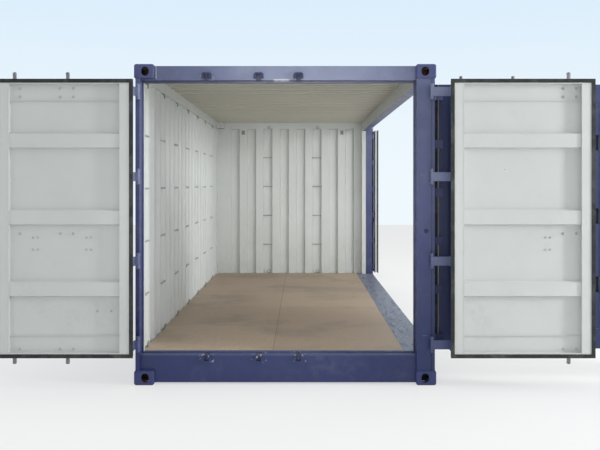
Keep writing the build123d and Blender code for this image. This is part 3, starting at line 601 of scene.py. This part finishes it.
FLOOR_CORNER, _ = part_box("plywood_floor")
MATERIALS = {
    "navy": navy_paint("navy_paint"),
    "header": header_paint("header_paint"),
    "casting": casting_paint("corner_casting"),
    "left_wall": two_tone("left_wall_paint", (0.0, 1.0, 0.0), PALE_WALL),
    "rear_wall": two_tone("rear_wall_paint", (1.0, 0.0, 0.0)),
    "roof": part_pale("roof_paint", roof_inside, base=PALE_ROOF, dirt=0.7),
    "left_end_door": part_pale("left_end_door_paint", door_inside(LEFT_DOOR_Y)),
    "right_end_door": part_pale("right_end_door_paint", door_inside(RIGHT_DOOR_Y)),
    "left_top_rail": part_pale("left_top_rail_paint", left_top_rail),
    "rear_top_rail": part_pale("rear_top_rail_paint", rear_top_rail),
    "front_side_door": leaf_paint("front_side_door_paint"),
    "rear_side_door": two_tone("rear_side_door_paint", (0.0, 1.0, 0.0)),
    "pale": pale_paint("pale_paint"),
    "slim_front_post": part_pale("slim_front_post_paint", slim_front_post),
    "slim_rear_post": part_pale("slim_rear_post_paint", slim_rear_post),
    "wide_rear_post": part_pale("wide_rear_post_paint", wide_rear_post),
    "open_rail": part_pale("open_rail_paint", open_side_rail),
    "strap": navy_paint("hinge_paint", STRAP_STOPS),
    # The keepers' darker navy is painted shade.
    "keeper": navy_paint("keeper_shaded_paint", KEEPER_SHADE_STOPS),
    "sealant": plain_paint("white_sealant", SEALANT),
    "knob": plain_paint("dark_cap", NAVY_DEEP),
    "bolt": zinc("bolt_zinc", 0.8),
    # The lashing bars' darker greys are painted shade.
    "dull": plain_paint("shade_darkened_bars", SHADE_DARKENED_GREY),
    "faint": plain_paint("shade_darkened_wall_bars", SHADE_DARKENED_WALL_BAR),
    "soft": plain_paint("painted_bolts", DOOR_BOLT),
    "sill": sill_paint("sill_paint"),
    "cam": cam_paint("cam_paint"),
    "rubber": rubber("seal_rubber"),
    "zinc": zinc("dull_zinc"),
    "threshold": worn_and_sheen_sill("worn_and_sheen_threshold"),
    "plywood": plywood("sealed_plywood", FLOOR_CORNER.x, FLOOR_CORNER.y),
}
SIDES = ("left", "right")
PAIRS = ("front", "rear")
LEAF_PIECES = ("post_frame", "post_panel", "middle_frame", "middle_panel")
LOOKS = {
    "header": ["door_header"],
    "casting": [f"corner_fittings_{end}" for end in ("front_bottom", "front_top", "rear_bottom", "rear_top")],
    "left_wall": ["left_wall"],
    "rear_wall": ["rear_wall"],
    "left_top_rail": ["top_rail_left"],
    "rear_top_rail": ["rear_header"],
    "roof": ["roof"],
    "left_end_door": ["left_end_door_frame", "left_end_door_panel"],
    "right_end_door": ["right_end_door_frame", "right_end_door_panel"],
    "front_side_door": [f"side_door_front_{piece}" for piece in LEAF_PIECES],
    "rear_side_door": [f"side_door_rear_{piece}" for piece in LEAF_PIECES],
    "dull": ["rear_lashing_bars"],
    "faint": ["side_lashing_bars"],
    "rubber": [*(f"{side}_end_door_gasket" for side in SIDES), *(f"side_door_{pair}_gaskets" for pair in PAIRS)],
    "threshold": ["side_threshold"],
    "plywood": ["plywood_floor"],
    "slim_front_post": ["post_front_left"],
    "slim_rear_post": ["post_rear_left"],
    "wide_rear_post": ["post_rear_right"],
    "open_rail": ["top_rail_right"],
    "strap": ["left_end_door_hinges", "right_end_door_hinges", "hinge_lugs_left", "hinge_lugs_right"],
    "keeper": ["cam_keepers"],
    "sill": ["door_sill"],
    "cam": [*(f"{side}_end_door_lock_rods" for side in SIDES), *(f"side_door_{pair}_lock_rods" for pair in PAIRS)],
}
LOOK_OF = {node: look for look, nodes in LOOKS.items() for node in nodes}


def paint(piece, look):
    piece.data.materials.clear()
    piece.data.materials.append(MATERIALS[look])


for node_name, node in NODES.items():
    paint(node, LOOK_OF.get(node_name, "navy"))


# Length of one step along a weld bead.
RIPPLE = 0.0045


class Pile:
    """Small solid pieces gathered in one mesh."""

    def __init__(self):
        self.mesh = bmesh.new()

    def box(self, low, high, edge=0.0):
        made = bmesh.ops.create_cube(self.mesh, size=1.0)["verts"]
        low, high = Vector(low), Vector(high)
        for vert in made:
            for axis in range(3):
                vert.co[axis] = (low[axis] + high[axis]) / 2 + vert.co[axis] * (high[axis] - low[axis])
        if edge:
            edges = list({line for vert in made for line in vert.link_edges})
            bmesh.ops.bevel(self.mesh, geom=edges, offset=edge, segments=2, profile=0.6, affect="EDGES")

    def tube(self, points, radii, sides=10):
        """Rings of vertices along a line of points, closed at both ends."""
        points = [Vector(point) for point in points]
        turns = [2 * math.pi * side / sides for side in range(sides)]
        rings = []
        for order, (point, radius) in enumerate(zip(points, radii)):
            along = (points[min(order + 1, len(points) - 1)] - points[max(order - 1, 0)]).normalized()
            across = along.orthogonal().normalized()
            other = along.cross(across)
            places = [point + (across * math.cos(turn) + other * math.sin(turn)) * radius for turn in turns]
            rings.append([self.mesh.verts.new(place) for place in places])
        for first, second in zip(rings, rings[1:]):
            for side in range(sides):
                after = (side + 1) % sides
                self.mesh.faces.new((first[side], first[after], second[after], second[side]))
        self.mesh.faces.new(rings[0][::-1])
        self.mesh.faces.new(rings[-1])

    def rod(self, start, end, radius, sides=12):
        start, end = Vector(start), Vector(end)
        way = (end - start).normalized()
        soft = min(radius * 0.3, (end - start).length * 0.3)
        points = (start, start + way * soft, end - way * soft, end)
        self.tube(points, (radius - soft, radius, radius, radius - soft), sides)

    def bolt(self, place, way, size):
        """Washer, six sided head and the rounded end of the shank."""
        place, way = Vector(place), Vector(way).normalized()
        self.rod(place, place + way * size * 0.20, size * 1.05, 14)
        self.rod(place + way * size * 0.20, place + way * size * 0.72, size * 0.80, 6)
        self.rod(place + way * size * 0.70, place + way * size * 0.95, size * 0.36, 8)

    def rivet(self, place, way, size):
        place, way = Vector(place), Vector(way).normalized()
        points = [place + way * size * rise for rise in (0.0, 0.22, 0.40, 0.48)]
        self.tube(points, [size * share for share in (1.0, 0.88, 0.52, 0.12)], 10)

    def ring(self, centre, flat, radius, wire):
        """Round bar bent into a full ring about the flat's normal."""
        centre, flat = Vector(centre), Vector(flat).normalized()
        across = flat.orthogonal().normalized()
        other = flat.cross(across)
        turns = [2 * math.pi * part / 24 for part in range(25)]
        points = [centre + (across * math.cos(turn) + other * math.sin(turn)) * radius for turn in turns]
        self.tube(points, [wire] * 25, 8)

    def weld(self, start, end, radius):
        """Rippled weld bead."""
        start, end = Vector(start), Vector(end)
        count = max(4, int((end - start).length / RIPPLE))
        parts = range(count + 1)
        points = [start.lerp(end, part / count) for part in parts]
        ripples = [0.82 + 0.18 * abs(math.sin(part * 1.9)) + 0.12 * math.sin(part * 0.31) for part in parts]
        radii = [radius * ripple for ripple in ripples]
        radii[0] = radii[-1] = radius * 0.3
        self.tube(points, radii, 6)

    def made(self, name, look, body, slot):
        bmesh.ops.recalc_face_normals(self.mesh, faces=self.mesh.faces)
        data = bpy.data.meshes.new(name)
        self.mesh.to_mesh(data)
        self.mesh.free()
        for face in data.polygons:
            face.use_smooth = False
        piece = bpy.data.objects.new(name, data)
        bpy.context.scene.collection.objects.link(piece)
        data.materials.append(MATERIALS[look])
        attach(piece, body)
        return piece


INNER_FACE = -3.193
OUTER_FACE = -3.143
PIN_X = -3.061
PIN_Y = 1.180
HINGE_LEVELS = [DOOR_LOW + share * (DOOR_HIGH - DOOR_LOW) for share in (0.0335, 0.3411, 0.6511, 0.9642)]
LASH_LEVELS = [FLOOR_TOP + share * (FITTING_TOP - FLOOR_TOP) for share in (0.2, 0.4, 0.6, 0.8)]
FRONT_LEAF_INNER = -2.821
REAR_LEAF_INNER = -1.303
FRONT_LEAVES = ((-2.6875, -1.263), (-4.120, -2.6955))
REAR_LEAVES = ((2.941, 4.3655), (4.3735, 5.798))
SIDE_RODS = [(-2.893, y, (-1, 0, 0)) for y in (-1.444, -1.871, -3.0255, -3.6455)]
SIDE_RODS += [(x, -1.231, (0, 1, 0)) for x in (3.122, 3.549, 4.7035, 5.3235)]
CASTING_SEAMS = (FITTING_HEIGHT + 0.001, FITTING_TOP - 0.001)
LUG_HALF = 0.058
CAM_REACH = 0.066
CAM_HOOK = ((0.0, 0.008), (0.005, 0.004), (0.010, 0.006), (0.0115, 0.014))
WALL_BAYS = 21
UP = Vector((0, 0, 1))


def casting_welds():
    """Weld beads round the castings at posts and rails, and dabs of sealant beside the left one."""
    rear = REAR - 0.004
    pile = Pile()
    for side, inner in ((1, SLIM_POST_INNER), (-1, WIDE_POST_INNER)):
        for level in CASTING_SEAMS:
            for x, end in ((FRONT + 0.004, -POST_X), (rear, POST_X)):
                corner = (x, side * POST_OUT, level)
                pile.weld((x, side * inner, level), corner, 0.0032)
                pile.weld(corner, (end, side * POST_OUT, level), 0.0032)
    uprights = [(x, side, 0.0175, 0.115) for x in (FRONT + 0.040, rear) for side in (1, -1)]
    uprights += [(rear, side, 2.476, 2.585) for side in (1, -1)]
    uprights += [(FRONT + 0.040, -1, 2.476, 2.577)]
    for x, side, low, high in uprights:
        pile.weld((x, side * FITTING_INNER, low), (x, side * FITTING_INNER, high), 0.0034)
    pile.made("casting_welds", "navy", "container", "frame_steel")
    pile = Pile()
    for level in range(11):
        low = 2.478 + level * 0.0092
        points = [(FRONT + 0.0395, 1.0475, low + part * 0.0016) for part in range(5)]
        pile.tube(points, (0.0012, 0.0046, 0.0052, 0.0046, 0.0012), 8)
    pile.made("sealant_dabs", "sealant", "container", "frame_steel")


def wall_welds():
    """Beads along the left wall's and rear wall's edges, on the outer sides."""
    pile = Pile()
    for level in CASTING_SEAMS:
        pile.weld((-POST_X, 1.2145, level), (POST_X, 1.2145, level), 0.0026)
        pile.weld((3.0245, -WIDE_POST_INNER, level), (3.0245, SLIM_POST_INNER, level), 0.0026)
    for x in (-POST_X, POST_X):
        pile.weld((x, 1.2085, 0.12), (x, 1.2085, 2.47), 0.0028)
    pile.made("wall_welds", "navy", "container", "wall_sheet")


def hinge_line(side):
    """How far from the middle line the folded door's edge by the pins is."""
    return 2 * PIN_Y - (SLIM_POST_INNER if side > 0 else 1.047)


def hinge_details(side):
    """Pin heads, retaining collars and the welds of the lugs and straps."""
    name = "left" if side > 0 else "right"
    pile = Pile()
    for level in HINGE_LEVELS:
        head = [(PIN_X, side * PIN_Y, level + LUG_HALF + rise) for rise in (0.0, 0.003, 0.0065, 0.008)]
        pile.tube(head, (0.0135, 0.0135, 0.009, 0.002), 16)
        collar = [(PIN_X, side * PIN_Y, level - LUG_HALF - drop) for drop in (0.0, 0.003, 0.006, 0.0075)]
        pile.tube(collar, (0.0115, 0.0115, 0.008, 0.002), 16)
        for edge in (-0.015, 0.015):
            y = side * PIN_Y + edge
            for foot in (level - LUG_HALF, level + LUG_HALF):
                pile.weld((FRONT + 0.003, y, foot), (PIN_X + 0.016, y, foot), 0.0022)
            for foot in (level - 0.048, level + 0.048):
                pile.weld((FRONT + 0.0035, y, foot - 0.0070), (FRONT + 0.0035, y, foot + 0.0070), 0.0024)
    pile.made(f"{name}_hinge_pin_heads", "strap", "container", "frame_steel")
    pile = Pile()
    hinge = hinge_line(side)
    for level in HINGE_LEVELS:
        for offset in (0.022, 0.050):
            for rise in (-0.020, 0.020):
                pile.bolt((OUTER_FACE + 0.008, side * (hinge + offset), level + rise), (1, 0, 0), 0.0085)
        x = OUTER_FACE + 0.0005
        for foot in (level - 0.036, level + 0.036):
            pile.weld((x, side * (hinge + 0.004), foot), (x, side * (hinge + 0.068), foot), 0.0024)
    pile.made(f"{name}_strap_bolts", "strap", f"{name}_end_door", "frame_steel")


def rod_fittings(pile, place, way, levels, sunk=0.0):
    """A lock rod's guide rings and their bolts, from each level up, and the two collars of the handle's hub."""
    x, y = place
    way = Vector(way)
    across = way.cross(UP)
    for low in levels:
        for rise in (0.008, 0.052):
            pile.ring((x, y, low + rise), UP, 0.0195, 0.0035)
        for rise in (0.016, 0.044):
            for offset in (-0.027, 0.027):
                pile.bolt(Vector((x, y, low + rise)) + across * offset - way * sunk, way, 0.0060)
    for low, high in ((1.128, 1.142), (1.198, 1.212)):
        pile.rod((x, y, low), (x, y, high), 0.0225, 20)


def door_details(side):
    """Through bolts of the guides and catches, gasket rivets, rod collars and the handle's catch."""
    name = "left" if side > 0 else "right"
    hinge = hinge_line(side)
    meeting = 2 * PIN_Y - 0.094 if side > 0 else 2 * PIN_Y + 0.072
    rods = (meeting - 0.121, meeting - 0.543) if side > 0 else (meeting - 0.179,)
    pile = Pile()
    sheet = INNER_FACE + 0.044
    for rod in rods:
        for level in (2.377, 2.312, 1.230, 0.319):
            for offset in (-0.052, 0.052):
                pile.bolt((sheet, side * (rod + offset), level), (-1, 0, 0), 0.0110)
        for level in (1.199, 1.104):
            for offset in (0.155, 0.193):
                pile.bolt((sheet, side * (rod - offset), level), (-1, 0, 0), 0.0085)
    if side > 0:
        for place in (1.482, 1.372):
            pile.bolt((sheet, place, 0.617), (-1, 0, 0), 0.0085)
    pile.made(f"{name}_door_through_bolts", "soft", f"{name}_end_door", "galvanised")
    pile = Pile()
    count = 9 if side > 0 else 11
    for level in (0.287, 2.417):
        for order in range(count):
            place = hinge + 0.060 + (meeting - hinge - 0.120) * order / (count - 1)
            pile.rivet((INNER_FACE, side * place, level), (-1, 0, 0), 0.0060)
    for order in range(17):
        for place in (hinge + 0.033, meeting - 0.033):
            pile.rivet((INNER_FACE, side * place, 0.345 + order * 0.125), (-1, 0, 0), 0.0055)
    for place in (hinge + 0.096, meeting - 0.096):
        low = (INNER_FACE - 0.0014, side * place - 0.0022, DOOR_LOW + 0.030)
        high = (INNER_FACE + 0.001, side * place + 0.0022, DOOR_HIGH - 0.030)
        pile.box(low, high, 0.0006)
    pile.made(f"{name}_door_gasket_rivets", "pale", f"{name}_end_door", "door_sheet")
    pile = Pile()
    x = OUTER_FACE + 0.022
    for rod in rods:
        y = side * rod
        rod_fittings(pile, (x, y), (1, 0, 0), (DOOR_LOW, DOOR_HIGH - 0.060, 1.030), 0.0005)
        pile.bolt((x + 0.006, side * (rod - 0.022), 1.170), (1, 0, 0), 0.0075)
        catch = side * (rod - 0.338)
        pile.rod((x + 0.0062, catch, 1.170), (x + 0.012, catch, 1.170), 0.014, 16)
        lid = side * (rod - 0.325)
        pile.box((x + 0.004, lid - 0.02, 1.192), (x + 0.010, lid + 0.02, 1.206), 0.002)
        for end, inward in ((DOOR_LOW - CAM_REACH, 1), (DOOR_HIGH + CAM_REACH, -1)):
            pile.rod((x, y, end - inward * 0.004), (x, y, end + inward * 0.064), 0.0085, 14)
            hook = [(x, y + reach, end + inward * rise) for reach, rise in CAM_HOOK]
            pile.tube(hook, (0.0075, 0.0075, 0.007, 0.006), 10)
    pile.made(f"{name}_door_rod_fittings", "zinc", f"{name}_end_door", "galvanised")


def leaf_rivets(pile, low, high, spot, way):
    """Rivets round a folding leaf's gasket. Spot gives a point on the leaf from a place and a level."""
    for level in (0.290, 2.417):
        for order in range(12):
            pile.rivet(spot(low + 0.05 + (high - low - 0.10) * order / 11, level), way, 0.0055)
    for order in range(17):
        for place in (low + 0.045, high - 0.045):
            pile.rivet(spot(place, 0.36 + order * 0.125), way, 0.0055)


def side_door_details():
    """Gasket rivets, guides, bolts and hubs on the folded side doors, fixed with the doors."""
    pile = Pile()
    rivets = Pile()
    for low, high in FRONT_LEAVES:
        leaf_rivets(rivets, low, high, lambda place, level: (FRONT_LEAF_INNER, place, level), (1, 0, 0))
    for low, high in REAR_LEAVES:
        leaf_rivets(rivets, low, high, lambda place, level: (place, REAR_LEAF_INNER, level), (0, -1, 0))
    for x, y, way in SIDE_RODS:
        rod_fittings(pile, (x, y), way, (0.266, 2.381, 1.030))
        for end, inward in ((0.200, 1), (2.507, -1)):
            pile.rod((x, y, end - inward * 0.003), (x, y, end + inward * 0.058), 0.0145, 14)
    pile.made("side_door_rod_fittings", "zinc", "container", "galvanised")
    rivets.made("side_door_gasket_rivets", "pale", "container", "door_sheet")


def leaf_edge_seals():
    """Rubber lips on the rear folding door's edge by the post."""
    pile = Pile()
    for low in (-1.3035, -1.2620):
        pile.box((2.9345, low, 0.262), (2.9415, low + 0.0110, 2.445), 0.0015)
    pile.made("rear_leaf_edge_seals", "rubber", "container", "seal_rubber")


def side_keepers():
    """Lugs on the threshold's edge and hoods under the open side's rail, where the side doors' cams lock."""
    pile = Pile()
    out, inner = -1.2225, -1.2148
    for place in (-2.30, -0.719, -0.089, 0.201, 0.801, 2.421):
        for foot, top, low, high in ((0.150, 0.236, 0.138, 0.152), (2.500, 2.562, 2.560, 2.574)):
            for edge in (place - 0.045, place + 0.030):
                pile.box((edge, out, foot), (edge + 0.015, inner, top), 0.002)
            pile.box((place - 0.045, out, low), (place + 0.045, inner, high), 0.003)
    # These keepers take the darker navy, which is painted shade.
    pile.made("side_cam_keepers", "keeper", "container", "galvanised")


def floor_details():
    """Screws through the boards into the beams."""
    pile = Pile()
    beam = (2.965 + POST_X) / 13
    for order in range(1, 13):
        for row in range(12):
            for offset in (-0.012, 0.012):
                x = -POST_X + beam * order + offset
                y = -0.935 + row * 0.188 + offset * 0.5
                points = [(x, y, FLOOR_TOP + rise) for rise in (-0.0008, 0.0004, 0.0007)]
                pile.tube(points, (0.0052, 0.0050, 0.0030), 10)
    pile.made("floor_screws", "bolt", "container", "galvanised")


def hold_details():
    """Lashing rings at floor and rail, vents, and the knob on the wide front post."""
    pile = Pile()
    base = FLOOR_TOP - 0.0005
    for y in (-0.375, 0.375):
        pile.box((2.9665, y - 0.024, base), (2.9775, y + 0.024, 0.262), 0.002)
        pile.ring((2.958, y, 0.280), (1, 0, 0.12), 0.024, 0.0048)
        pile.rod((2.953, y - 0.020, 0.259), (2.971, y - 0.020, 0.259), 0.006, 10)
        pile.ring((2.960, y, 2.494), (1, 0, 0), 0.019, 0.0042)
        pile.rod((2.9595, y, 2.512), (2.970, y, 2.512), 0.007, 10)
    for bay in range(0, WALL_BAYS, 3):
        x = -POST_X + (bay + 0.5) * 2 * POST_X / WALL_BAYS
        pile.box((x - 0.024, 1.166, base), (x + 0.024, 1.1765, 0.262), 0.002)
        pile.ring((x, 1.158, 0.280), (0, 1, 0.12), 0.024, 0.0048)
        pile.ring((x, 1.160, 2.446), (0, 1, 0), 0.019, 0.0042)
        pile.rod((x, 1.160, 2.466), (x, LEFT_WALL_OUT, 2.466), 0.006, 10)
        for level in LASH_LEVELS:
            for end in (x - 0.092, x + 0.092):
                pile.weld((end, 1.1765, level - 0.010), (end, 1.1765, level + 0.010), 0.0032)
    pile.made("lashing_rings", "dull", "container", "galvanised")
    pile = Pile()
    for y in (0.770, -0.750):
        pile.box((2.9755, y - 0.024, 2.385), (2.9772, y + 0.024, 2.447), 0.0006)
        for order in range(4):
            level = 2.392 + order * 0.0130
            pile.box((2.9715, y - 0.018, level), (2.9765, y + 0.018, level + 0.0046), 0.001)
    pile.made("rear_vents", "dull", "container", "wall_sheet")
    pile = Pile()
    y, level = -1.135, 1.244
    points = [(FRONT + 0.0045 - rise, y, level) for rise in (0.0, 0.006, 0.011, 0.014)]
    pile.tube(points, (0.017, 0.017, 0.013, 0.004), 20)
    pile.rod((FRONT - 0.0085, y, level), (FRONT - 0.0130, y, level), 0.006, 12)
    pile.made("post_knob", "knob", "container", "frame_steel")


casting_welds()
wall_welds()
for door_side in (1, -1):
    hinge_details(door_side)
    door_details(door_side)
side_door_details()
leaf_edge_seals()
side_keepers()
floor_details()
hold_details()


PHOTO_WIDTH = 600
SEEN_BY = ("Camera", "Glossy", "Transmission")
WORLD_LIGHT = 0.73


def stage_floor():
    """A plain pale floor that ends where the photograph's ground meets its sky."""
    mesh = bpy.data.meshes.new("ground")
    mesh.from_pydata([(-45, -45, 0), (22.8, -45, 0), (22.8, 45, 0), (-45, 45, 0)], [], [(0, 1, 2, 3)])
    ground = bpy.data.objects.new("ground", mesh)
    bpy.context.scene.collection.objects.link(ground)
    ground.location.z = -0.0005
    shade = Shader("pale_ground", roughness=0.9, specular=0.1)
    mottle = shade.spread(shade.noise(0.6, 2.0), 0.0, 1.0)
    mesh.materials.append(shade.done(shade.mix(mottle, FLOOR_COLOUR, darker(FLOOR_COLOUR, 0.985))))
    glow = shade.tree.nodes.new("ShaderNodeEmission")
    glow.inputs["Color"].default_value = (0.935, 0.940, 0.940, 1.0)
    path = shade.tree.nodes.new("ShaderNodeLightPath")
    seen = shade.most(*(path.outputs[f"Is {kind} Ray"] for kind in SEEN_BY))
    both = shade.tree.nodes.new("ShaderNodeMixShader")
    shade.join(shade.times(seen, 0.6), both.inputs[0])
    shade.join(shade.surface.outputs[0], both.inputs[1])
    shade.join(glow.outputs[0], both.inputs[2])
    shade.join(both.outputs[0], shade.out.inputs["Surface"])


def studio_world():
    """Even white light, and a pale sky that only the camera, mirrors and glass see."""
    world = bpy.data.worlds.new("studio")
    bpy.context.scene.world = world
    world.use_nodes = True
    tree = world.node_tree
    tree.nodes.clear()
    out = tree.nodes.new("ShaderNodeOutputWorld")
    light = tree.nodes.new("ShaderNodeBackground")
    light.inputs["Color"].default_value = (1.0, 1.0, 1.0, 1.0)
    light.inputs["Strength"].default_value = WORLD_LIGHT
    seen = tree.nodes.new("ShaderNodeBackground")
    seen.inputs["Strength"].default_value = 1.0
    where = tree.nodes.new("ShaderNodeTexCoord")
    split = tree.nodes.new("ShaderNodeSeparateXYZ")
    ramp = tree.nodes.new("ShaderNodeValToRGB")
    stops = ((0.0, (0.86, 0.94, 0.99)), (0.06, (0.84, 0.925, 0.985)), (0.22, (0.715, 0.855, 0.975)))
    elements = ramp.color_ramp.elements
    elements.new(0.5)
    for element, (position, colour) in zip(elements, stops):
        element.position = position
        element.color = (*colour, 1.0)
    tree.links.new(where.outputs["Generated"], split.inputs[0])
    tree.links.new(split.outputs[2], ramp.inputs[0])
    tree.links.new(ramp.outputs[0], seen.inputs["Color"])
    path = tree.nodes.new("ShaderNodeLightPath")
    shown = path.outputs[f"Is {SEEN_BY[0]} Ray"]
    for kind in SEEN_BY[1:]:
        most = tree.nodes.new("ShaderNodeMath")
        most.operation = "MAXIMUM"
        tree.links.new(shown, most.inputs[0])
        tree.links.new(path.outputs[f"Is {kind} Ray"], most.inputs[1])
        shown = most.outputs[0]
    mix = tree.nodes.new("ShaderNodeMixShader")
    tree.links.new(shown, mix.inputs[0])
    tree.links.new(light.outputs[0], mix.inputs[1])
    tree.links.new(seen.outputs[0], mix.inputs[2])
    tree.links.new(mix.outputs[0], out.inputs["Surface"])


def soft_lamp(name, place, target, size, power, spread=180.0):
    data = bpy.data.lights.new(name, "AREA")
    data.shape = "RECTANGLE"
    data.size, data.size_y = size
    data.energy = power
    data.spread = math.radians(spread)
    lamp = bpy.data.objects.new(name, data)
    lamp.location = place
    lamp.rotation_euler = (Vector(target) - Vector(place)).to_track_quat("-Z", "Y").to_euler()
    bpy.context.scene.collection.objects.link(lamp)


def photo_camera():
    """Level, looking into the door end, with the photograph's own vanishing point."""
    data = bpy.data.cameras.new("photo_camera")
    data.sensor_width = 36.0
    data.lens = 48.9
    data.shift_x = -2 / PHOTO_WIDTH
    data.shift_y = -40.9 / PHOTO_WIDTH
    data.clip_end = 200.0
    camera = bpy.data.objects.new("photo_camera", data)
    camera.location = (-9.593, -0.136, 1.622)
    camera.rotation_euler = (math.pi / 2, 0.0, -math.pi / 2)
    bpy.context.scene.collection.objects.link(camera)
    bpy.context.scene.camera = camera


stage_floor()
studio_world()
soft_lamp("overhead", (-1.0, -1.5, 9.0), (0.0, 0.0, 0.5), (9.0, 9.0), 300.0)
soft_lamp("open_side", (-5.4, -9.0, 3.1), (-1.5, 0.9, 1.2), (0.9, 2.6), 470.0)
soft_lamp("rear_side", (3.6, -8.5, 3.2), (1.5, 0.9, 1.2), (4.0, 3.0), 135.0)
soft_lamp("doorway", (-10.5, -0.1, 1.5), (3.0, 0.0, 1.4), (1.2, 1.2), 5.5, 19.0)
photo_camera()
bpy.context.scene.view_settings.view_transform = "Standard"
